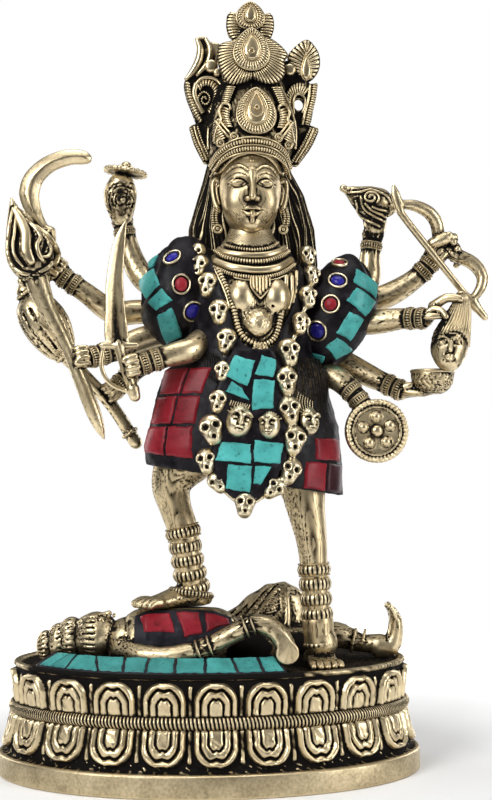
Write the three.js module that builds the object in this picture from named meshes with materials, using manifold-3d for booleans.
// A many-armed brass figure standing on a reclining figure, on an oval lotus base,
// with turquoise and coral tiles and round stones inlaid in its dress.
// Millimetres, +Z up. The origin is the middle of the base's flat underside. The front faces -Y.

import * as THREE from 'three';
import { mergeVertices } from 'three/addons/utils/BufferGeometryUtils.js';
import Module from 'manifold-3d';

const wasm = await Module();
wasm.setup();

// Clearance between pieces that touch, the largest error of a casting's facets,
// and how far corners that touch are parted
const GAP = 0.3;
const SLIVER = 0.5;
const PARTING = 0.03;

// Lotus base, from the underside up
const BASE_WIDTH = 175;
const BASE_DEPTH = 108;
const FRONT_TO_FIGURES = 54;
const BANK_END_TO_FIGURES = 14.2;
const PLINTH_HEIGHT = 9;
const LEDGE_HEIGHT = 1.5;
const LOWER_PETAL_HEIGHT = 14;
const BAND_HEIGHT = 5.5;
const UPPER_PETAL_HEIGHT = 13.4;
const RIM_HEIGHT = 2.2;
const RIM_WIDTH = 3.4;
const RIM_DROP = 1.6;
const RIM_INSET = 6.2;
const PETAL_COUNT = 21;
const PETAL_SCALLOP = 3;

// Sloping inlay bank along the front of the base's floor
const BANK_RISE = 4.8;
const BANK_DEPTH = 8;
const BANK_START = -66;
const BANK_END = 21;

// Inlay
const TILE_THICKNESS = 1.1;
const TILE_BED = 1;
const APRON_PROUD = 2.4;
const GROUT_ANGLE = 2;
const BANK_GROUT_ANGLE = 1;
const STONE_HEIGHT = 1.8;

// Figures
const CHEST_HEIGHT = 23.6;
const ARM_RADIUS = 5;
const WRIST_RADIUS = 3.5;
const BANGLE_RIM = 0.8;
const BANGLE_PITCH = 3.4;
const FINGER_RADIUS = 1.35;
const SKULL_COUNT = 21;
const SKULL_WIDTH = 7.6;
const SKULL_HEIGHT = 9.6;
const SHIELD_RADIUS = 13;
const SHIELD_THICKNESS = 2.6;
const BOWL_RADIUS = 8.9;
const BOWL_HEIGHT = 9.6;
const BOWL_WALL = 1.3;
const WHEEL_RADIUS = 9.2;
const BLADE_THICKNESS = 1.8;

// Heights and sizes that follow from the ones above
const RIM_TOP = PLINTH_HEIGHT + LEDGE_HEIGHT + LOWER_PETAL_HEIGHT + BAND_HEIGHT
  + UPPER_PETAL_HEIGHT + RIM_HEIGHT;
const FLOOR_HEIGHT = RIM_TOP - RIM_DROP;
const FLOOR_INSET = RIM_INSET + RIM_WIDTH;
const SOLE_HEIGHT = CHEST_HEIGHT + GAP;

const { degToRad, lerp } = THREE.MathUtils;
const point = (x, y, z) => new THREE.Vector3(x, y, z);

// Colours and finishes
const finish = (color, roughness, metalness) => (
  new THREE.MeshStandardMaterial({ color, roughness, metalness })
);
const BRASS = finish(0xb09b66, 0.35, 1);
const TURQUOISE = finish(0x3f9a9c, 0.6, 0);
const CORAL = finish(0xa82f3c, 0.55, 0);
const LAPIS = finish(0x2f2f8f, 0.4, 0);

// A closed geometry as a solid with its faces pointing out
function solid(geometry) {
  const bare = new THREE.BufferGeometry();
  bare.setAttribute('position', geometry.getAttribute('position'));
  if (geometry.index) bare.setIndex(geometry.index);
  const merged = mergeVertices(bare, 1e-4);
  const vertices = merged.getAttribute('position');
  const corner = (i) => new THREE.Vector3().fromBufferAttribute(vertices, i);
  const faces = [];
  let volume = 0;
  for (let i = 0; i < merged.index.count; i += 3) {
    const [a, b, c] = [0, 1, 2].map((k) => merged.index.getX(i + k));
    if (a === b || b === c || c === a) continue;
    faces.push([a, b, c]);
    volume += corner(a).dot(corner(b).cross(corner(c)));
  }
  if (volume < 0) faces.forEach((face) => face.reverse());
  return new wasm.Manifold(new wasm.Mesh({
    numProp: 3,
    vertProperties: new Float32Array(vertices.array),
    triVerts: new Uint32Array(faces.flat()),
  }));
}

function join(solids) {
  return wasm.Manifold.union(solids.flat(Infinity));
}

// A joined casting without the slivers that its joins leave
function cleaned(casting) {
  const bodies = casting.asOriginal().simplify(SLIVER).decompose();
  return bodies.reduce((largest, body) => (body.volume() > largest.volume() ? body : largest));
}

function placed(geometry, position, turn = [0, 0, 0]) {
  const angles = new THREE.Euler(...turn.map(degToRad));
  const matrix = new THREE.Matrix4().makeRotationFromEuler(angles).setPosition(...position);
  return solid(geometry.clone().applyMatrix4(matrix));
}

// Corners that touch at one spot are each drawn back towards their neighbours,
// so that no edge is left with four faces
function partTouchingCorners(places, triangles) {
  const at = (v) => point(...places.subarray(3 * v, 3 * v + 3));
  const spots = new Map();
  for (let v = 0; v < places.length / 3; v += 1) {
    const spot = at(v).toArray().join();
    spots.set(spot, [...(spots.get(spot) ?? []), v]);
  }
  const touching = [...spots.values()].filter((corners) => corners.length > 1).flat();
  const moved = touching.map((v) => {
    const middle = point(0, 0, 0);
    const spot = at(v);
    for (let i = 0; i < triangles.length; i += 3) {
      const corners = [...triangles.subarray(i, i + 3)];
      if (corners.includes(v)) corners.forEach((c) => middle.add(at(c).sub(spot)));
    }
    return spot.addScaledVector(middle.normalize(), PARTING);
  });
  touching.forEach((v, i) => places.set(moved[i].toArray(), 3 * v));
}

function namedMesh(name, manifold, material) {
  const { vertProperties, triVerts } = manifold.getMesh();
  partTouchingCorners(vertProperties, triVerts);
  const geometry = new THREE.BufferGeometry();
  geometry.setAttribute('position', new THREE.BufferAttribute(vertProperties, 3));
  geometry.setIndex(new THREE.BufferAttribute(triVerts, 1));
  const mesh = new THREE.Mesh(geometry, material);
  mesh.name = name;
  return mesh;
}

// Skin through rings of points, closed flat at both ends, or round in a loop
function loft(rings, loop = false) {
  const sides = rings[0].length;
  const faces = [];
  const bands = loop ? rings.length : rings.length - 1;
  for (let r = 0; r < bands; r += 1) {
    const next = (r + 1) % rings.length * sides;
    for (let s = 0; s < sides; s += 1) {
      const t = (s + 1) % sides;
      faces.push(r * sides + s, r * sides + t, next + t, r * sides + s, next + t, next + s);
    }
  }
  const last = (rings.length - 1) * sides;
  for (let s = 1; s < sides - 1 && !loop; s += 1) {
    faces.push(0, s + 1, s, last, last + s, last + s + 1);
  }
  const geometry = new THREE.BufferGeometry();
  const positions = rings.flat().flatMap((p) => [p.x, p.y, p.z]);
  geometry.setAttribute('position', new THREE.Float32BufferAttribute(positions, 3));
  geometry.setIndex(faces);
  return solid(geometry);
}

// Round bar through stations [x, y, z, radius, flatness], with a rounded far end unless blunt.
// A section is radius wide along the way of across and radius * flatness thick.
function limb(stations, { sides = 6, across = [0, 1, 0], blunt = false } = {}) {
  const points = stations.map(([x, y, z]) => point(x, y, z));
  const side = point(...across);
  const rings = [];
  const addRing = (centre, tangent, radius, flatness) => {
    side.addScaledVector(tangent, -side.dot(tangent)).normalize();
    const up = tangent.clone().cross(side);
    rings.push(Array.from({ length: sides }, (_, s) => {
      const angle = (s + 0.5) / sides * Math.PI * 2;
      return centre.clone()
        .addScaledVector(side, radius * Math.cos(angle))
        .addScaledVector(up, radius * flatness * Math.sin(angle));
    }));
  };
  const tangents = points.map((_, i) => (
    points[Math.min(i + 1, points.length - 1)].clone().sub(points[Math.max(i - 1, 0)]).normalize()
  ));
  stations.forEach(([, , , radius, flatness = 1], i) => {
    addRing(points[i], tangents[i], radius, flatness);
  });
  if (!blunt) {
    const tangent = tangents.at(-1);
    const [, , , radius, flatness = 1] = stations.at(-1);
    const tip = points.at(-1).clone().addScaledVector(tangent, radius * flatness * 0.6);
    addRing(tip, tangent, radius * 0.55, flatness);
  }
  return loft(rings);
}

// Ellipsoid, its own Z axis tilted by turn
function blob(centre, radii, { sides = 8, rows = 6, turn = [0, 0, 0] } = {}) {
  const sphere = new THREE.SphereGeometry(1, sides, rows).rotateX(Math.PI / 2);
  return placed(sphere.scale(...radii), centre, turn);
}

// Turned form, profile of [radius, height], its own Z axis tilted by turn
function turned(profile, position, { segments = 12, turn = [0, 0, 0] } = {}) {
  const outline = profile.map(([radius, height]) => new THREE.Vector2(radius, height));
  const lathe = new THREE.LatheGeometry(outline, segments).rotateX(Math.PI / 2);
  return placed(lathe, position, turn);
}

// Plate with a smooth outline of [x, z] points, standing in the XZ plane
function plate(outline, y, thickness, steps = 3) {
  const curve = new THREE.SplineCurve([...outline, outline[0]].map((p) => new THREE.Vector2(...p)));
  const shape = new THREE.Shape(curve.getPoints(outline.length * steps).slice(0, -1));
  const geometry = new THREE.ExtrudeGeometry(shape, { depth: thickness, bevelEnabled: false, steps: 1 });
  geometry.rotateX(Math.PI / 2).translate(0, y + thickness / 2, 0);
  return solid(geometry);
}

// Bar along a smooth path of [x, y, z] points, its radius a function of the share of the way
function rod(path, radius, { steps = 8, sides = 4, across = [0, 1, 0] } = {}) {
  const curve = new THREE.CatmullRomCurve3(path.map((p) => point(...p)));
  const stations = Array.from({ length: steps + 1 }, (_, i) => {
    const spot = curve.getPointAt(i / steps);
    return [spot.x, spot.y, spot.z, radius(i / steps)];
  });
  return limb(stations, { sides, across });
}

// Values of a table [position, ...values], read between its rows
function between(table, position) {
  const last = table.length - 1;
  if (position <= table[0][0]) return table[0].slice(1);
  if (position >= table[last][0]) return table[last].slice(1);
  const i = table.findIndex((row) => row[0] > position) - 1;
  const share = (position - table[i][0]) / (table[i + 1][0] - table[i][0]);
  return table[i].slice(1).map((value, k) => lerp(value, table[i + 1][k + 1], share));
}

// Everything under a height is cut away
function cutBelow(body, height) {
  const size = BASE_WIDTH * 2;
  const block = new THREE.BoxGeometry(size, size, size);
  return body.subtract(placed(block, [0, 0, height - size / 2]));
}

// Carrying surfaces of the inlay. Each takes two coordinates and a distance proud of the surface.
// Heights are above the base's floor.

// Dress: [height, middle x, half width, middle y, half depth, slope of the hem].
// The first row carries the surface on below the hem, for the apron.
const DRESS = [
  [64, 13.5, 36, -10, 22.5, -0.16],
  [76, 13.5, 39, -10, 23, -0.16],
  [86, 13, 39.2, -10, 23, -0.08],
  [97, 13.3, 37.4, -10, 22.5, 0],
  [110, 12.8, 34.1, -10, 21.5, 0],
  [120, 14.2, 32, -10, 20.5, 0],
  [127, 15, 24, -10, 20, 0],
  [146, 15.5, 22, -9.5, 18.5, 0],
  [161, 15.5, 22, -9, 15.5, 0],
  [169, 15.5, 16, -9, 11, 0],
];
function dressPoint(angle, height, proud = 0) {
  const [x, halfWidth, y, halfDepth, slope] = between(DRESS, height);
  const across = (halfWidth + proud) * Math.sin(degToRad(angle));
  const forward = (halfDepth + proud) * Math.cos(degToRad(angle));
  return point(x + across, y - forward, height + slope * across);
}

// Apron down the front of the dress, proud of it: [height, left angle, right angle]
const APRON = [
  [67, -4, 5], [70.5, -12, 12], [76, -18, 18.5], [88, -19, 22],
  [107, -19, 21.5], [120, -18.5, 20], [126.5, -16, 17],
];
const apronPoint = (angle, height, proud = 0) => dressPoint(angle, height, proud + APRON_PROUD);

// Shoulder pads: ellipsoids that lean sideways
const SHOULDERS = {
  left: { centre: [-13.2, -4, 153.5], radii: [15.5, 15.5, 22], lean: 10 },
  right: { centre: [53, -4, 146], radii: [13.8, 15.5, 24.2], lean: 24 },
};
function shoulderPoint({ centre, radii, lean }, turn, rise, proud = 0) {
  const ring = Math.cos(degToRad(rise));
  const local = point(
    (radii[0] + proud) * ring * Math.sin(degToRad(turn)),
    -(radii[1] + proud) * ring * Math.cos(degToRad(turn)),
    (radii[2] + proud) * Math.sin(degToRad(rise)),
  );
  return local.applyAxisAngle(point(0, 1, 0), degToRad(lean)).add(point(...centre));
}

// Chest of the reclining figure: [x, middle y, middle height, half depth, half height]
const CHEST = [
  [-34, -14.5, 10, 9.5, 10],
  [-27, -14.5, 10, 12, 13.5],
  [-12, -14.5, 10, 12.8, 14.5],
  [0, -14.5, 10, 12.5, 13.5],
  [9, -13, 9, 10, 10.5],
];
function chestPoint(angle, x, proud = 0) {
  const [y, height, halfDepth, halfHeight] = between(CHEST, x);
  return point(
    x,
    y - (halfDepth + proud) * Math.sin(degToRad(angle)),
    height + (halfHeight + proud) * Math.cos(degToRad(angle)),
  );
}

// Inlay bank: angle round the base from the front, and the share of the way up the slope
function bankPoint(angle, share, proud = 0) {
  const inset = FLOOR_INSET + 0.4 + share * BANK_DEPTH;
  return point(
    (BASE_WIDTH / 2 - inset) * Math.sin(degToRad(angle)),
    -(BASE_DEPTH / 2 - inset) * Math.cos(degToRad(angle)),
    share * BANK_RISE + proud,
  );
}

// Thick patch of a surface inside four corners, from one distance proud of it to another
function patch(surface, corners, inner, outer, columns = 2, rows = 1) {
  const [a, b, c, d] = corners;
  const layer = (proud) => Array.from({ length: rows + 1 }, (_, j) => (
    Array.from({ length: columns + 1 }, (__, i) => {
      const [u, w] = [i / columns, j / rows];
      const mix = (k) => lerp(lerp(a[k], b[k], u), lerp(d[k], c[k], u), w);
      return surface(mix(0), mix(1), proud);
    })
  ));
  const positions = [layer(inner), layer(outer)].flat(2).flatMap((p) => [p.x, p.y, p.z]);
  const width = columns + 1;
  const size = width * (rows + 1);
  const faces = [];
  const quad = (p, q, r, s) => faces.push(p, q, r, p, r, s);
  for (let j = 0; j < rows; j += 1) {
    for (let i = 0; i < columns; i += 1) {
      const p = j * width + i;
      quad(p, p + width, p + width + 1, p + 1);
      quad(size + p, size + p + 1, size + p + width + 1, size + p + width);
    }
  }
  const rim = [];
  for (let i = 0; i < columns; i += 1) rim.push(i);
  for (let j = 0; j < rows; j += 1) rim.push(j * width + columns);
  for (let i = columns; i > 0; i -= 1) rim.push(rows * width + i);
  for (let j = rows; j > 0; j -= 1) rim.push(j * width);
  rim.forEach((p, i) => {
    const q = rim[(i + 1) % rim.length];
    quad(p, q, size + q, size + p);
  });
  const geometry = new THREE.BufferGeometry();
  geometry.setAttribute('position', new THREE.Float32BufferAttribute(positions, 3));
  geometry.setIndex(faces);
  return solid(geometry);
}

// Solids of the carrying forms
const ring = (sides, spot) => Array.from({ length: sides }, (_, s) => spot((s + 0.5) / sides * 360));
const dressSolid = () => loft(DRESS.slice(1).map(([height]) => (
  ring(18, (angle) => dressPoint(angle, height))
)));
const apronSolid = () => loft(APRON.map(([height, left, right]) => [
  dressPoint(right, height, -2),
  dressPoint(left, height, -2),
  ...[0, 0.25, 0.5, 0.75, 1].map((share) => apronPoint(lerp(left, right, share), height)),
]));
const shoulderSolid = ({ centre, radii, lean }) => (
  blob(centre, radii, { sides: 12, rows: 8, turn: [0, lean, 0] })
);
const chestSolid = () => loft(CHEST.map(([x]) => ring(12, (angle) => chestPoint(angle, x))));

// A tile on a carrying form: a bed's thickness off it, so that its flat facets clear the form
const tile = (surface, corners, columns = 2, rows = 1) => (
  patch(surface, corners, TILE_BED, TILE_BED + TILE_THICKNESS, columns, rows)
);

// Corners of the tiles in rows between slanting cuts, with grout between them.
// A cut is [place at the row's top, place at its bottom].
function rowCorners(rows, grout = GROUT_ANGLE) {
  return rows.flatMap(({ heights: [top, bottom], cuts }) => (
    cuts.slice(0, -1).map(([topLeft, bottomLeft], i) => {
      const [topRight, bottomRight] = cuts[i + 1];
      return [
        [topLeft + grout / 2, top], [topRight - grout / 2, top],
        [bottomRight - grout / 2, bottom], [bottomLeft + grout / 2, bottom],
      ];
    })
  ));
}

// Coral rows on the dress, cut at angles round it, heights above the floor
const CORAL_LEFT_ROWS = [
  { heights: [120.3, 110], cuts: [[-85, -74], [-46, -47], [-26, -29]] },
  { heights: [109, 98], cuts: [[-78, -83], [-49, -51], [-29.8, -31.6]] },
  { heights: [96.8, 81.5], cuts: [[-88, -84], [-54, -53], [-33, -31]] },
];
const CORAL_RIGHT_ROWS = [
  { heights: [93, 86], cuts: [[43, 42], [78, 74]] },
  { heights: [85, 76], cuts: [[34, 32], [54, 51], [78, 76]] },
];

// Turquoise corners on the apron: [angle round the dress, height above the floor]
const APRON_TILES = [
  [[-13.3, 125], [2.2, 122.7], [-0.3, 112.5], [-14.4, 116.4]],
  [[7.2, 125], [17.6, 123.3], [14.8, 116.2], [2.8, 117.3]],
  [[-10.5, 114.6], [-3.6, 111.8], [1.2, 106.9], [-13, 110.5]],
  [[3.2, 115.4], [16.6, 115], [14.8, 104], [2.3, 103.2]],
  [[-14.2, 90.2], [1.2, 89.8], [1.4, 82.3], [-17.2, 82]],
  [[3.2, 91.4], [19.2, 90.6], [16.6, 83.2], [2.8, 83]],
  [[-11, 80.8], [1.5, 81.2], [0.4, 70.8], [-12.6, 70.8]],
  [[3.4, 81.6], [12.1, 82], [6, 74.6], [2, 74.6]],
];

// Turquoise corners on the shoulders: [turn, rise] in degrees
const SHOULDER_TILES = {
  left: [
    [[-88, 2], [-48, 15], [-29, -1], [-52, -16.5]],
    [[-70, 22], [-52, 31], [-50, 18], [-58, 15]],
    [[-48, -20], [-26, -4.5], [-8, -15], [-33, -28]],
    [[-32, -34], [-8, -22.5], [24, -55], [-20, -76]],
  ],
  right: [
    [[-4, 41.5], [59, 38], [57, 23], [0, 25.5]],
    [[8, 22], [59, 20], [43, 1.5], [1, 6.5]],
    [[12, -1.5], [42, -1], [41, -25], [8, -24.5]],
    [[14, -28.5], [64, -31], [45, -51], [2, -42.5]],
    [[-22, -57], [14, -54], [24, -65], [-22, -66]],
  ],
};

// Round stones on the shoulders: [turn, rise], half width, half height, lean, colour
const STONES = {
  left: [
    { at: [-22, 29.5], size: [2.7, 1.8], lean: -45, colour: LAPIS },
    { at: [0, 2.5], size: [2.5, 2.9], lean: 0, colour: CORAL },
    { at: [25, -21.5], size: [3.1, 3.1], lean: 0, colour: LAPIS },
  ],
  right: [
    { at: [-44, 42], size: [2.7, 1.5], lean: 30, colour: CORAL },
    { at: [-25, 21], size: [2.9, 2.2], lean: 30, colour: LAPIS },
    { at: [-19, -2.5], size: [2.6, 2.6], lean: 0, colour: CORAL },
    { at: [-24, -30.5], size: [3.1, 3.1], lean: 0, colour: LAPIS },
  ],
};

// Coral corners on the reclining chest: [angle from the top towards the front, x]
const CHEST_TILES = [
  [[38, -29.3], [38, -17.5], [70, -15.5], [68, -27.4]],
  [[37, -15], [37, -6], [71, -4.4], [77, -11.5]],
  [[37, -3.4], [39, 6.2], [50, 6.6], [70, -2.8]],
];

// Turquoise cuts along the bank: [angle at the crest, angle at the foot]
const BANK_CUTS = [
  [-63, -64], [-55, -57], [-51, -49], [-41.5, -36], [-30, -27.5], [-21.5, -20.5],
  [-12.5, -11.8], [-3, -3], [5.5, 6.5], [14, 14], [20, 20.7],
];

// Angles that divide an ellipse into equal lengths, counted from the front
function evenAngles(halfWidth, halfDepth, count) {
  const samples = 2000;
  const lengths = [0];
  for (let i = 1; i <= samples; i += 1) {
    const angle = (i - 0.5) / samples * Math.PI * 2;
    const step = Math.hypot(halfWidth * Math.cos(angle), halfDepth * Math.sin(angle));
    lengths.push(lengths[i - 1] + step);
  }
  return Array.from({ length: count }, (_, k) => {
    const goal = lengths[samples] * k / count;
    return lengths.findIndex((length) => length >= goal) / samples * Math.PI * 2;
  });
}

// Lotus base: rings of [height, inset], each a function of the place across a petal,
// 0 on its middle and 1 on the groove beside it
function lotusBase() {
  const columns = 3;
  const angles = evenAngles(BASE_WIDTH / 2, BASE_DEPTH / 2, PETAL_COUNT * columns);
  const ledge = PLINTH_HEIGHT + LEDGE_HEIGHT;
  const lowerTop = ledge + LOWER_PETAL_HEIGHT;
  const bandTop = lowerTop + BAND_HEIGHT;
  const upperTop = bandTop + UPPER_PETAL_HEIGHT;
  const rows = [
    () => [0, 0],
    () => [PLINTH_HEIGHT, 0.3],
    () => [ledge, 3.2],
    (u) => [ledge + 0.6 + PETAL_SCALLOP * u * u, 4.6],
    (u) => [ledge + 0.6 + PETAL_SCALLOP * u * u, 1.6 + 1.6 * u * u],
    (u) => [lowerTop - 0.3, 5.8 + 0.8 * u * u],
    () => [lowerTop + 0.4, 4.4],
    () => [bandTop - 0.4, 4.4],
    (u) => [bandTop + 0.3, 6.8 + 0.8 * u * u],
    (u) => [upperTop - 0.6 - PETAL_SCALLOP * u * u, 4.4 + 1.6 * u * u],
    (u) => [upperTop - 0.6 - PETAL_SCALLOP * u * u, 6.8],
    () => [RIM_TOP, RIM_INSET + RIM_WIDTH * 0.4],
    () => [FLOOR_HEIGHT, FLOOR_INSET],
  ];
  const rings = rows.map((row) => angles.map((angle, i) => {
    const petalPlace = ((i % columns) * 2 / columns + 1) % 2 - 1;
    const [height, inset] = row(Math.abs(petalPlace));
    return point(
      (BASE_WIDTH / 2 - inset) * Math.sin(angle),
      -(BASE_DEPTH / 2 - inset) * Math.cos(angle),
      height,
    );
  }));
  return loft(rings);
}

// The bank is a wedge that follows the base's front
function inlayBank() {
  const steps = 12;
  return loft(Array.from({ length: steps + 1 }, (_, i) => {
    const angle = lerp(BANK_START, BANK_END, i / steps);
    const crest = bankPoint(angle, 1);
    const foot = bankPoint(angle, 0);
    return [
      point(foot.x, foot.y, FLOOR_HEIGHT - 1),
      point(foot.x, foot.y, FLOOR_HEIGHT),
      point(crest.x, crest.y, FLOOR_HEIGHT + crest.z),
      point(crest.x, crest.y, FLOOR_HEIGHT - 1),
    ];
  }));
}

// Arm through its joints, with a bangle before the hand's cuff
function arm(joints) {
  const path = new THREE.CatmullRomCurve3(joints.map((joint) => point(...joint)));
  const length = path.getLength();
  const bangleStart = length - 2 * BANGLE_PITCH;
  const stations = [];
  const addStation = (distance, rim) => {
    const spot = path.getPointAt(Math.min(distance / length, 1));
    const radius = lerp(ARM_RADIUS, WRIST_RADIUS, distance / length) + rim;
    stations.push([spot.x, spot.y, spot.z, radius]);
  };
  const steps = 3;
  for (let i = 0; i <= steps; i += 1) addStation(bangleStart * i / steps, 0);
  addStation(bangleStart + 0.4 * BANGLE_PITCH, BANGLE_RIM);
  addStation(bangleStart + BANGLE_PITCH, 0);
  addStation(length, 0);
  return limb(stations, { sides: 5, blunt: true });
}

// Section across a row of digits with a flat underside. A comb of 0 is a smooth back,
// a comb of 1 has a ridge on each digit and a valley between two.
function digitSection({ middle, side, back, count, halfWidth, top, bottom, comb }) {
  const steps = 2 * (count - 1);
  const outline = [[1.1, -bottom]];
  for (let k = 0; k <= steps; k += 1) {
    const share = 1 - 2 * k / steps;
    const ridged = k % 2 ? 0.15 : 1;
    outline.push([share, top * lerp(Math.sqrt(1.1 - share * share), ridged, comb)]);
  }
  outline.push([-1.1, -bottom]);
  return outline.map(([across, height]) => middle.clone()
    .addScaledVector(side, across * halfWidth).addScaledVector(back, height));
}

// Hand: from a cuff round the wrist over the palm to four fingers side by side, and a thumb.
// forward runs along the hand, face points out of the palm.
// bend is the angle at each knuckle, and thumb is the thumb's side, 1 or -1.
function hand({ wrist, forward, face, bend, length = 8, thumb = 1 }) {
  const ahead = point(...forward).normalize();
  const out = point(...face);
  out.addScaledVector(ahead, -out.dot(ahead)).normalize();
  const side = ahead.clone().cross(out);
  const at = (f, s, o) => point(...wrist)
    .addScaledVector(ahead, f).addScaledVector(side, s).addScaledVector(out, o);
  const section = (middle, angle, halfWidth, thickness, comb) => {
    const back = ahead.clone().multiplyScalar(Math.sin(angle))
      .addScaledVector(out, -Math.cos(angle));
    return digitSection({
      middle, side, back, count: 4, halfWidth, top: thickness, bottom: thickness, comb,
    });
  };
  const bendAngle = degToRad(bend);
  const reach = length / 2;
  const knuckle = at(6, 0, 0);
  const middle = knuckle.clone()
    .addScaledVector(ahead, reach * Math.cos(bendAngle))
    .addScaledVector(out, reach * Math.sin(bendAngle));
  const tip = middle.clone()
    .addScaledVector(ahead, reach * Math.cos(bendAngle * 2))
    .addScaledVector(out, reach * Math.sin(bendAngle * 2));
  const thumbPath = [[2, 3, 1, 1.8], [7, 2.6, 4.2, 1.4]];
  return [
    loft([
      section(at(-1.5, 0, 0), 0, 4.4, 4.2, 0),
      section(knuckle, bendAngle / 2, 4.2, 1.7, 1),
      section(middle, bendAngle * 1.5, 4, FINGER_RADIUS, 1),
      section(tip, bendAngle * 2, 3.4, FINGER_RADIUS * 0.8, 1),
    ]),
    limb(thumbPath.map(([f, s, o, radius]) => [...at(f, s * thumb, o).toArray(), radius]),
      { sides: 4, across: side.toArray(), blunt: true }),
  ];
}

// Arms by what they hold, each with its hand's pose.
// Heights are above the base's floor, as in all that follows.
const ARMS = {
  wheel: {
    joints: [[-14, 2, 152], [-27, 6, 159], [-32.6, 8, 167.5], [-36, 8, 178], [-37.7, 8, 185.5]],
    pose: { forward: [0, -0.1, 1], face: [0, -1, 0.1], bend: 50, length: 9, thumb: -1 },
  },
  sickle: {
    joints: [[-14, 4, 146], [-30, 6, 146], [-41.3, 5, 145.8], [-52.6, 3, 153.5], [-62, 2.5, 160]],
    pose: { forward: [-0.75, -0.1, 0.65], face: [0.2, -0.9, 0.3], bend: 80, thumb: 1 },
  },
  trident: {
    joints: [[-14, 0, 138], [-29.8, -2, 133.4], [-38.8, -5, 129], [-49.5, -9.5, 125.6]],
    pose: { forward: [-1, -0.2, -0.15], face: [0, -1, 0.2], bend: 85, thumb: -1 },
  },
  mace: {
    joints: [[-12, 6, 134], [-21, 7, 129.5], [-30, 6, 123], [-38.5, 4.4, 115]],
    pose: { forward: [-0.75, -0.1, -0.65], face: [0.1, -1, 0], bend: 85, thumb: -1 },
  },
  sword: {
    joints: [
      [-2, -12, 135], [-5.5, -20, 131], [-9.6, -26, 127.5], [-17.6, -29.5, 125], [-28, -30.5, 121.6],
    ],
    pose: { forward: [-1, 0.05, -0.2], face: [0, -1, 0], bend: 85, thumb: 1 },
  },
  conch: {
    joints: [[54, 4, 150], [62, 6, 153], [67.7, 6, 160.5], [68.6, 6, 170], [70, 6, 180.5]],
    pose: { forward: [0, -0.1, 1], face: [-0.6, -0.8, 0.1], bend: 60, length: 9, thumb: 1 },
  },
  bow: {
    joints: [[54, 4, 148], [70, 2, 151.4], [79.6, 0, 155.5], [87.9, -2, 161.3], [93.3, -3, 167.2]],
    pose: { forward: [0.55, -0.25, 0.75], face: [-0.3, -1, 0], bend: 75, thumb: -1 },
  },
  head: {
    joints: [[54, -2, 141], [67.9, -8, 141], [78.2, -13, 141.9], [86.5, -18.5, 141.6]],
    pose: { forward: [0.85, -0.3, 0.45], face: [0.2, -0.4, -1], bend: 40, thumb: -1 },
  },
  bowl: {
    joints: [[46, 2, 131], [59.8, 0, 122.6], [69.3, -4, 117.3], [78.8, -9, 112.4]],
    pose: { forward: [1, -0.45, -0.25], face: [0, 0, 1], bend: 12, length: 9, thumb: 1 },
  },
  shield: {
    joints: [[42, -4, 116], [50, -10, 118], [56.5, -14, 112.5], [60.5, -15.5, 107.5]],
    pose: { forward: [0.4, 0, -0.9], face: [0, 1, 0.1], bend: 60, thumb: 1 },
  },
};

const arms = () => Object.values(ARMS).map(({ joints, pose }) => [
  arm(joints),
  hand({ wrist: joints.at(-1), ...pose }),
]);

// What the hands hold

function wheel() {
  const rim = [
    [0, -1.2], [WHEEL_RADIUS * 0.7, -1.2], [WHEEL_RADIUS, 0], [WHEEL_RADIUS * 0.7, 1.2], [0, 1.2],
  ];
  return [
    turned(rim, [-36.3, 6, 205.6], { segments: 10, turn: [0, 8, 0] }),
    blob([-36.8, 6, 208.6], [2.6, 2.6, 2.4], { sides: 5, rows: 3 }),
    limb([[-37.5, 6, 189, 3.4], [-36.6, 6, 205, 2.6]], { sides: 5, blunt: true }),
  ];
}

function sickle() {
  const outer = [
    [-68.4, 178], [-76.1, 186.1], [-80.3, 197], [-77.4, 204.7], [-69.1, 211.4], [-59.5, 213.6],
  ];
  const tip = [[-51, 211], [-50.6, 209], [-58.7, 207.3]];
  const inner = [[-66.2, 204], [-71, 199.5], [-71.6, 194.5], [-68.6, 186], [-63.6, 177]];
  return [
    plate([...outer, ...tip, ...inner], 2, 3.2, 1),
    limb([[-66, 2, 178, 3], [-67.5, 1, 165, 2.4], [-70, 1, 157, 2.4]], { sides: 5 }),
  ];
}

function trident() {
  const y = -12;
  const bud = [[0, 0], [5.2, 0.8], [10.2, 8], [8.2, 19], [3.6, 28], [0, 33.5]];
  return [
    turned(bud, [-73.2, y, 158.5], { segments: 8, turn: [0, -15, 0] }),
    limb([
      [-72.8, y, 160, 4.2], [-71.6, y, 155.5, 4.8], [-66.8, y, 143.5, 3.6], [-59.8, y, 130.3, 2.4],
      [-51.6, y, 110.7, 3.1], [-48, y, 101.5, 2.9], [-44.3, y, 92.5, 1],
    ], { sides: 5 }),
  ];
}

function mace() {
  const y = 3;
  return limb([
    [-78.2, y, 154, 3.4], [-75, y, 149, 5], [-72.6, y, 145.2, 9.2], [-68.8, y, 139.6, 10.2],
    [-64.6, y, 132.6, 8], [-60, y, 126, 2.9], [-42.8, y, 107.6, 2.7], [-31.5, y, 90.5, 2.7],
  ], { sides: 8 });
}

function sword() {
  const y = -31;
  const blade = [
    [-42.7, 129], [-43, 154.3], [-41.4, 165], [-39.2, 172.5], [-35, 178.8],
    [-35.6, 167.9], [-36.1, 154.3], [-34.8, 138.4], [-34.2, 129],
  ];
  return [
    plate(blade, y, BLADE_THICKNESS, 1),
    limb([[-43.5, y, 128.8, 1.2], [-31.5, y, 128.8, 1.2]], { sides: 4, blunt: true }),
    limb([[-38, y, 129, 2], [-34.8, y, 119, 2], [-32, y, 110.5, 2.4]], { sides: 5 }),
    rod([[-43.5, y, 128.8], [-44.2, y, 120], [-41, y, 113.5], [-33, y, 110]], () => 0.9, { steps: 4 }),
  ];
}

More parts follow.
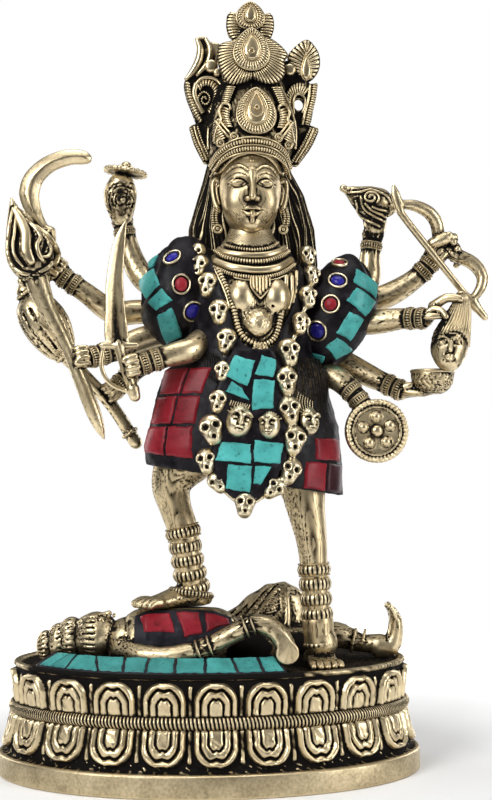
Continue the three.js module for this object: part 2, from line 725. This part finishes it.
function conch() {
  return limb([
    [76.5, 3, 193, 3], [73.5, 3, 194.5, 6.4], [70, 3, 195.8, 7.4], [65.5, 2.6, 196.6, 5.6],
    [61, 2.3, 197.4, 3], [58.2, 2, 198, 1.9],
  ], { sides: 8 });
}

function bow() {
  const upper = [
    [79, -11, 190.4], [85.5, -10, 190.2], [91.5, -9, 187.6], [95.7, -8, 182.6], [96.4, -6.5, 171],
  ];
  const lower = [
    [99, -6, 172.5], [103, -8, 170.5], [107.5, -9, 167.2], [112, -10, 164.5], [114.6, -11, 160],
    [113, -12, 154.4], [109.4, -12, 150.6],
  ];
  const shaft = [
    [75.8, -12, 197.2, 1.2], [77, -12, 193, 2.5], [78.4, -12, 186.4, 1.6],
    [106.5, -12, 151.5, 1.6], [110.5, -12, 147.2, 2.3], [114, -12, 143.2, 1.4],
  ];
  return [
    rod(upper, (share) => lerp(1.5, 2.4, share), { steps: 4 }),
    rod(lower, (share) => lerp(2.4, 1.5, share), { steps: 5 }),
    limb(shaft, { sides: 4 }),
  ];
}

function severedHead() {
  return [
    blob([96.3, -23, 129.3], [7.7, 6.6, 8.6], { sides: 8, rows: 5, turn: [0, 8, 0] }),
    limb([
      [97.4, -22.5, 133, 6.6, 0.9], [99.8, -22.5, 140, 5.4, 0.8], [101.5, -22, 147, 3.6, 0.7],
      [101.8, -21.5, 150, 2.6, 0.6],
    ], { sides: 6, across: [1, 0, 0] }),
    limb([[96, -29, 132.5, 1], [95.8, -29.8, 127.6, 1.3]], { sides: 4, blunt: true }),
    limb([[90.5, -20, 146.5, 2.4], [96, -22.5, 149.5, 2.1], [100.5, -25.5, 149.2, 1.7]], { sides: 5 }),
  ];
}

function bowl() {
  const belly = BOWL_RADIUS * 0.92;
  const profile = [
    [0, 0], [BOWL_RADIUS * 0.55, 0], [belly, BOWL_HEIGHT * 0.45], [BOWL_RADIUS, BOWL_HEIGHT],
    [BOWL_RADIUS - BOWL_WALL, BOWL_HEIGHT], [belly - BOWL_WALL, BOWL_HEIGHT * 0.5],
    [BOWL_RADIUS * 0.5, BOWL_WALL], [0, BOWL_WALL],
  ];
  return turned(profile, [91.1, -15, 110.6], { segments: 10 });
}

function shield() {
  const middle = [66.9, -20, 95.2];
  const profile = [
    [0, -SHIELD_THICKNESS], [SHIELD_RADIUS, -SHIELD_THICKNESS], [SHIELD_RADIUS, 1],
    [SHIELD_RADIUS * 0.84, 1], [SHIELD_RADIUS * 0.8, 0], [0, 0],
  ];
  const bosses = [0, 1, 2, 3].map((i) => {
    const angle = (i + 0.5) * Math.PI / 2;
    const reach = SHIELD_RADIUS * 0.45;
    return [middle[0] + reach * Math.cos(angle), middle[2] + reach * Math.sin(angle)];
  });
  return [
    turned(profile, middle, { segments: 16, turn: [90, 0, 0] }),
    [[middle[0], middle[2]], ...bosses].map(([x, z]) => (
      blob([x, middle[1], z], [2.2, 1.8, 2.2], { sides: 4, rows: 3 })
    )),
    limb([[61, -15.5, 106, 3], [64, -16, 98, 3]], { sides: 5, blunt: true }),
  ];
}

// Head, hair, neck and crown of the standing figure, about an upright axis
const AXIS = 15.7;

function head() {
  const sections = [
    [177, -15, 3.6, 4.6], [181, -14, 8, 9], [188, -12.6, 11.4, 12.2], [197, -11, 13.4, 13.8],
    [206, -10.5, 11, 11.6], [211, -10.5, 4, 4],
  ];
  return [
    loft(sections.map(([height, y, halfWidth, halfDepth]) => ring(10, (angle) => point(
      AXIS + halfWidth * Math.sin(degToRad(angle)),
      y - halfDepth * Math.cos(degToRad(angle)),
      height,
    )))),
    limb([[AXIS, -24, 200, 1], [AXIS, -25.8, 192, 1.9]], { sides: 4 }),
    [-1, 1].map((side) => [
      blob([AXIS + side * 5.4, -22.6, 196.6], [2.9, 1.8, 1.4], { sides: 4, rows: 3 }),
      limb([[AXIS + side * 13.4, -8, 198, 2], [AXIS + side * 14, -9, 190, 2.4],
        [AXIS + side * 14.4, -10, 183, 3]], { sides: 4 }),
    ]),
  ];
}

function hair() {
  const sections = [[210, 15.5, 17.5], [196, 17.2, 22.5], [181, 17.4, 27], [160, 18, 27.5]];
  const sides = 16;
  return loft(sections.map(([height, x, halfWidth]) => (
    Array.from({ length: sides }, (_, s) => {
      const angle = s / sides * Math.PI * 2;
      const lock = s % 2 ? 1 : 0.94;
      return point(x + halfWidth * lock * Math.cos(angle), 3 + 10.5 * lock * Math.sin(angle), height);
    })
  )));
}

const NECKLACES = [
  [[6, -14, 171.8], [17.3, -21.5, 166.6], [29.5, -14, 172.6]],
  [[0.5, -10, 167], [9.1, -21.5, 158.2], [17.4, -24.6, 156.4], [26.5, -21.5, 158.8], [35.4, -10, 168]],
  [
    [2, -20, 158], [4.8, -25.5, 147.6], [9.5, -29, 136.5], [17.8, -30.5, 128.8], [25.5, -29, 136.8],
    [28.2, -25.5, 147.7], [29.4, -20, 158.5],
  ],
];
function neckAndNecklaces() {
  return [
    limb([[AXIS, -8, 162, 11], [AXIS, -9, 172, 8.4], [AXIS, -10, 182, 7.6]], { sides: 8, blunt: true }),
    NECKLACES.map((path) => rod(path, () => 1.3, { steps: path.length + 1 })),
    limb([[18, -26.4, 157, 2.6, 0.6], [18, -27, 150, 1.2, 0.8]], { sides: 5, across: [1, 0, 0] }),
    blob([17.7, -30.6, 127.6], [4, 2.2, 3.2], { sides: 6, rows: 4 }),
  ];
}

// Drop-shaped stone in a raised frame, standing on the crown's front
function drop([x, y, z], halfWidth, halfHeight, frame) {
  const steps = 8;
  const profile = [[-frame, 0], [0, -frame], [frame, 0], [0, frame]];
  const edge = Array.from({ length: steps }, (_, i) => {
    const angle = i / steps * Math.PI * 2;
    const taper = 1 - 0.42 * Math.max(Math.cos(angle), 0) ** 2;
    return profile.map(([out, forward]) => point(
      x + (halfWidth + out) * taper * Math.sin(angle),
      y + forward,
      z + (halfHeight + out) * Math.cos(angle),
    ));
  });
  return [
    loft(edge, true),
    blob([x, y, z - halfHeight * 0.1], [halfWidth * 0.72, frame * 1.3, halfHeight * 0.78],
      { sides: 5, rows: 3 }),
  ];
}

function crown() {
  const core = [
    [203, 14.5, 12, -8], [214, 18.4, 14.6, -9], [223, 19.6, 11.6, -7.5],
    [240, 15.8, 7, -5], [252, 10.5, 5.2, -5], [268, 5.5, 3, -6],
  ];
  const body = loft(core.map(([height, halfWidth, halfDepth, y]) => ring(10, (angle) => point(
    16.5 + halfWidth * Math.sin(degToRad(angle)),
    y - halfDepth * Math.cos(degToRad(angle)),
    height,
  ))));
  const fan = [
    [2.8, 250.5], [3.4, 244], [8, 241.6], [16.3, 243.4], [25, 241.6], [29.6, 244.5], [30.8, 250.5],
    [27.5, 256], [22.5, 260], [10.5, 260], [5.5, 256],
  ];
  const leaf = [
    [37.6, 243.4], [31.6, 249.5], [33.2, 257.5], [38.4, 261.4], [43.6, 257.8], [45.2, 251.5], [43.2, 246],
  ];
  const brows = [
    [[0.6, -9, 214.4], [6, -20, 217], [17.6, -24.4, 218.9], [27.6, -20, 216.8], [32.4, -9, 214]],
    [[0.4, -9, 210.4], [6, -20.4, 213.6], [17, -24.8, 215.6], [27.6, -20.4, 213.4], [32.6, -9, 210.6]],
  ];
  const scrolls = [
    [[3, -6, 209], [-5.5, -4, 217], [-8.6, -4, 224.6]],
    [[-3, -4, 220], [-7.6, -4, 231.5], [-10.8, -4, 243]],
    [[-10, -4, 243], [-7.6, -4, 249.5], [-6.2, -4, 254.5], [-7.4, -4, 261]],
    [[30, -6, 208.8], [38.6, -4, 216], [43, -4, 224]],
    [[36.4, -4, 220], [41.4, -4, 230], [43, -4, 242]],
    [[31, -5, 224], [29.8, -5, 236], [34.6, -5, 242.2], [41, -5, 241]],
  ];
  const plumes = [-1, 1].map((side) => limb(
    [[16 + side * 6, -6, 258, 3], [16 + side * 8, -6, 264, 3.4], [16 + side * 7.8, -6, 269.4, 2]],
    { sides: 4, across: [1, 0, 0], blunt: true },
  ));
  const backPlates = [
    [[-9.6, 242], [-6.5, 252], [-6.8, 260.6], [3, 254], [6, 222], [-4, 222]],
    [[26, 246], [33, 241], [30, 236], [31, 228], [41, 226], [30, 214]],
  ];
  return [
    body,
    plate(fan, -10.4, 3.4, 1),
    plate(leaf, -5, 2.6, 1),
    limb([[38, -5, 240, 2.4], [38, -5, 247, 2]], { sides: 4, blunt: true }),
    backPlates.map((outline) => plate(outline, -4.5, 3, 1)),
    scrolls.map((path) => rod(path, (share) => lerp(2.3, 1.7, share), { steps: 3, sides: 3 })),
    brows.map((path) => rod(path, () => 1.8, { steps: 5, sides: 3 })),
    plumes,
    drop([17.6, -15, 230.4], 7.6, 10, 1.7),
    drop([16.4, -12.6, 253], 6.4, 8, 1.5),
    drop([16, -8.4, 269.4], 4.6, 4.8, 1.3),
  ];
}

// Garland of skulls, evenly spaced along a hanging line
const GARLAND = [
  [-6, -13, 164], [-2.2, -20, 154], [2, -25.5, 140], [4.3, -28, 129], [1.8, -29.5, 117], [0.6, -30.5, 106],
  [-2.4, -31, 93], [-3.4, -30.5, 80], [1, -31.5, 73.4], [5.6, -32.6, 69], [11.6, -33.4, 67.4],
  [22.6, -33, 71.4], [30.8, -30.5, 80], [32.2, -30, 92], [30.6, -29.5, 105], [29.6, -29, 117],
  [30.6, -27.5, 129], [34.8, -24.5, 140.5], [38.9, -17, 152.5], [40.7, -9, 163], [39.6, -4.5, 170.5],
];
function garland() {
  const line = new THREE.CatmullRomCurve3(GARLAND.map((p) => point(...p)));
  return Array.from({ length: SKULL_COUNT }, (_, i) => {
    const { x, y, z } = line.getPointAt(i / (SKULL_COUNT - 1));
    return blob([x, y, z], [SKULL_WIDTH / 2, 3.4, SKULL_HEIGHT / 2], { sides: 5, rows: 3 });
  });
}

// Small faces hung on the dress between the apron's tiles
const smallFaces = () => [[9.6, -34.4, 97.6], [22.4, -34.4, 97.4], [38, -27, 98]].map((at) => (
  blob(at, [4.4, 3, 4.6], { sides: 5, rows: 3 })
));

// Leg through stations, with ribbed anklets that swell it between two heights
function leg(stations, anklets, [top, bottom]) {
  const centreAt = (z) => {
    const i = Math.max(stations.findIndex((s) => s[2] <= z), 1);
    const [upper, lower] = [stations[i - 1], stations[i]];
    const share = (z - upper[2]) / (lower[2] - upper[2]);
    return [0, 1, 3].map((k) => lerp(upper[k], lower[k], share));
  };
  const pitch = (top - bottom) / anklets;
  const ribs = Array.from({ length: anklets }, (_, i) => (
    [[0.1, 0], [0.6, 1.2]].map(([share, swell]) => {
      const z = top - (i + share) * pitch;
      const [x, y, radius] = centreAt(z);
      return [x, y, z, radius + swell];
    })
  )).flat();
  const plain = stations.filter(([, , z]) => z > top + 1 || z < bottom - 1);
  return limb([...plain, ...ribs].sort((a, b) => b[2] - a[2]), { sides: 6, blunt: true });
}

// Foot from the heel to the toes, flat on a sole
function foot(heel, toes, sole, width) {
  const ahead = toes.clone().sub(heel).normalize();
  const side = point(-ahead.y, ahead.x, 0);
  const sections = [
    [-0.08, 4, 0.34, 0], [0.1, 6.4, 0.4, 0], [0.35, 6.6, 0.4, 0], [0.6, 4.4, 0.46, 0],
    [0.84, 2.8, 0.5, 0.8], [1, 1.4, 0.46, 1],
  ];
  return loft(sections.map(([share, top, spread, comb]) => {
    const middle = heel.clone().lerp(toes, share);
    middle.z = sole;
    return digitSection({
      middle, side, back: point(0, 0, 1), count: 5, halfWidth: width * spread, top, bottom: 0, comb,
    });
  }));
}

const raisedLeg = () => [
  leg([
    [-6, -9, 88, 12], [-13.6, -9, 80, 10.4], [-16.6, -10, 72.5, 8.2], [-15.2, -11, 64.5, 6.6],
    [-12, -12, 54.7, 6.2], [-10, -12, 42, 5.8], [-8.2, -11, 32, 5.8], [-6.8, -10, SOLE_HEIGHT + 3, 5.2],
  ], 5, [54.4, SOLE_HEIGHT + 6]),
  foot(point(-4.5, -8, 0), point(-29.5, -23, 0), SOLE_HEIGHT, 11),
];

const standingLeg = () => [
  leg([
    [33, -11, 86, 12], [36.8, -14, 72.7, 9.6], [38.2, -16, 62.9, 7.8], [40.2, -18, 50.8, 6.3],
    [41, -18.5, 41, 5.6], [42, -19, 26, 5.4], [42.8, -19, 14, 5.2], [44.4, -19, 4, 5],
  ], 4, [38, 16]),
  foot(point(42.8, -10, 0), point(45.2, -33, 0), GAP, 14),
];

// End of a sash that hangs down behind the standing figure
const sash = () => limb(
  [[15.5, 8, 126, 7, 0.4], [16, 12, 104, 8, 0.3], [16, 13, 84, 9, 0.25], [16, 11.5, 78, 9, 0.2]],
  { across: [1, 0, 0], blunt: true },
);

// Round stone that stands out of a shoulder
function stone(shoulder, { at, size: [halfWidth, halfHeight], lean }) {
  const middle = shoulderPoint(shoulder, ...at);
  const outward = shoulderPoint(shoulder, ...at, 1).sub(middle).normalize();
  const profile = [[0, GAP], [1, GAP], [0.7, STONE_HEIGHT], [0, STONE_HEIGHT]];
  const outline = profile.map(([share, height]) => new THREE.Vector2(share, height));
  const lathe = new THREE.LatheGeometry(outline, 8).rotateX(Math.PI / 2);
  lathe.scale(halfWidth, halfHeight, 1).rotateZ(degToRad(-lean));
  const turn = new THREE.Matrix4().lookAt(outward, point(0, 0, 0), point(0, 0, 1));
  return solid(lathe.applyMatrix4(turn.setPosition(middle)));
}

function standingFigure() {
  const shoulders = Object.values(SHOULDERS).map(shoulderSolid);
  return join([
    dressSolid(), apronSolid(), shoulders, raisedLeg(), standingLeg(), neckAndNecklaces(), head(),
    hair(), crown(), garland(), smallFaces(), sash(), arms(), wheel(), sickle(), trident(), mace(),
    sword(), conch(), bow(), severedHead(), bowl(), shield(),
  ]);
}

// Reclining figure, its head to the viewer's left
function recliningFigure() {
  const headAndHair = [
    blob([-46.6, -13, 12.6], [9, 8.6, 9.4], { sides: 8, rows: 5 }),
    limb([[-40, -13, 9, 5], [-33, -14, 10, 6]], { blunt: true }),
    limb([[-50, -11, 12, 8], [-57, -9.5, 11.5, 8.6], [-61, -9, 10, 6.6]]),
    limb([[-60, -8, 8, 7.6], [-66, -7, 8.4, 7.4], [-69, -6.6, 7, 5.6]]),
  ];
  const nearArm = [
    limb([[-36, -20, 9, 5], [-28, -28, 9, 4.8], [-18, -32, 9.4, 4.4], [-3.7, -32.6, 11.4, 4.1]]),
    limb([[-5.4, -32.6, 11.2, 4.9], [-2.6, -32.6, 11.8, 4.9]], { blunt: true }),
    limb([[-3.7, -32.6, 11.4, 4], [6.1, -33, 16, 4.1], [14, -33.4, 19.2, 3.9]]),
    limb([[13.2, -33.4, 19, 4.7], [15.8, -33.6, 19.4, 4.7]], { blunt: true }),
    limb([[14, -33.4, 19.2, 3.9], [20.5, -34, 18.4, 4.2], [26, -35, 14, 4.5], [28.2, -36.5, 9, 4.4]]),
    turned([[0, 0], [4.3, 0], [4.4, 5], [0, 5]], [28.3, -36, 8.2], { turn: [80, 0, 0], segments: 8 }),
  ];
  const farArm = limb([[-30, -4, 10, 5], [-34, 8, 7, 4.6], [-24, 16, 5, 4.2], [-12, 20, 4, 3.6]]);
  const drape = [
    [4, 9, 17, 1], [13, 10, 20.5, 3], [22, 9.5, 26.5, 6], [28.6, 8.6, 30.7, 8], [33, 8, 29, 9],
  ];
  const knee = [
    limb([[31, 9, 26, 5], [37, 10.5, 22, 4.6], [41.6, 12.5, 13, 4.4], [45, 14, 4.6, 4.8]]),
    loft(drape.map(([x, halfDepth, top, y]) => Array.from({ length: 9 }, (_, s) => {
      const angle = s / 8 * Math.PI;
      return point(x, y - halfDepth * Math.cos(angle), top * Math.sin(angle) ** 0.8);
    }))),
  ];
  const farLeg = [
    limb([[18, -4, 8, 8], [36, 2, 7.4, 6], [50, 4, 9.4, 5.4], [60, 3, 7, 4.6], [71, 0, 6, 4.8]]),
    limb([[73, 0, 5.4, 5, 0.9], [77, 0, 9, 4.8, 0.9], [78, 0, 15.5, 4.2, 0.8], [75.6, 0, 22.4, 3.2, 0.7]]),
  ];
  const hips = blob([15, -9, 8], [13, 13, 9.5], { sides: 8, rows: 4 });
  const body = cutBelow(join([chestSolid(), hips, headAndHair, nearArm, farArm, knee, farLeg]), GAP);

  // The raised foot's seat is cut flat into the chest
  const seat = new THREE.BoxGeometry(60, 60, 20);
  return body.subtract(placed(seat, [-17, -14, CHEST_HEIGHT + 10]));
}

// Tiles along the bank
function bankInlay() {
  const rows = [{ heights: [0.96, 0.06], cuts: BANK_CUTS }];
  return rowCorners(rows, BANK_GROUT_ANGLE).map((corners, i) => (
    namedMesh(`turquoise_bank_${i + 1}`, tile(bankPoint, corners, 1), TURQUOISE)
  ));
}

// Tiles and stones on the figures, each a piece of its own
function inlay() {
  const pieces = [];
  const add = (name, shape, material) => pieces.push(namedMesh(name, shape, material));
  rowCorners(CORAL_LEFT_ROWS).forEach((corners, i) => {
    add(`coral_dress_left_${i + 1}`, tile(dressPoint, corners, 3), CORAL);
  });
  rowCorners(CORAL_RIGHT_ROWS).forEach((corners, i) => {
    add(`coral_dress_right_${i + 1}`, tile(dressPoint, corners, 2), CORAL);
  });
  APRON_TILES.forEach((corners, i) => {
    add(`turquoise_apron_${i + 1}`, tile(apronPoint, corners, 1), TURQUOISE);
  });
  Object.entries(SHOULDERS).forEach(([side, shoulder]) => {
    const surface = (turn, rise, proud) => shoulderPoint(shoulder, turn, rise, proud);
    SHOULDER_TILES[side].forEach((corners, i) => {
      add(`turquoise_shoulder_${side}_${i + 1}`, tile(surface, corners, 2, 2), TURQUOISE);
    });
    STONES[side].forEach((setting, i) => {
      add(`stone_${side}_${i + 1}`, stone(shoulder, setting), setting.colour);
    });
  });
  CHEST_TILES.forEach((corners, i) => {
    add(`coral_chest_${i + 1}`, tile(chestPoint, corners, 2), CORAL);
  });
  return pieces;
}

// Everything above the base stands in groups whose zero height is the base's floor.
// The figures lie clear of the inlay bank, along the base's front edge and at the bank's end.
const bankGroup = new THREE.Group();
bankGroup.position.z = FLOOR_HEIGHT;
bankGroup.add(...bankInlay());

const behindFront = FRONT_TO_FIGURES - BASE_DEPTH / 2;
const behindBankEnd = bankPoint(BANK_START, 1).y + BANK_END_TO_FIGURES;
const figureGroup = new THREE.Group();
figureGroup.position.set(0, Math.max(behindFront, behindBankEnd), FLOOR_HEIGHT);
figureGroup.add(
  namedMesh('reclining_figure', cleaned(recliningFigure()), BRASS),
  namedMesh('standing_figure', cleaned(standingFigure()), BRASS),
  ...inlay(),
);

const kaliFigure = new THREE.Group();
const base = cleaned(join([lotusBase(), inlayBank()]));
kaliFigure.add(namedMesh('lotus_base', base, BRASS), bankGroup, figureGroup);

export default kaliFigure;
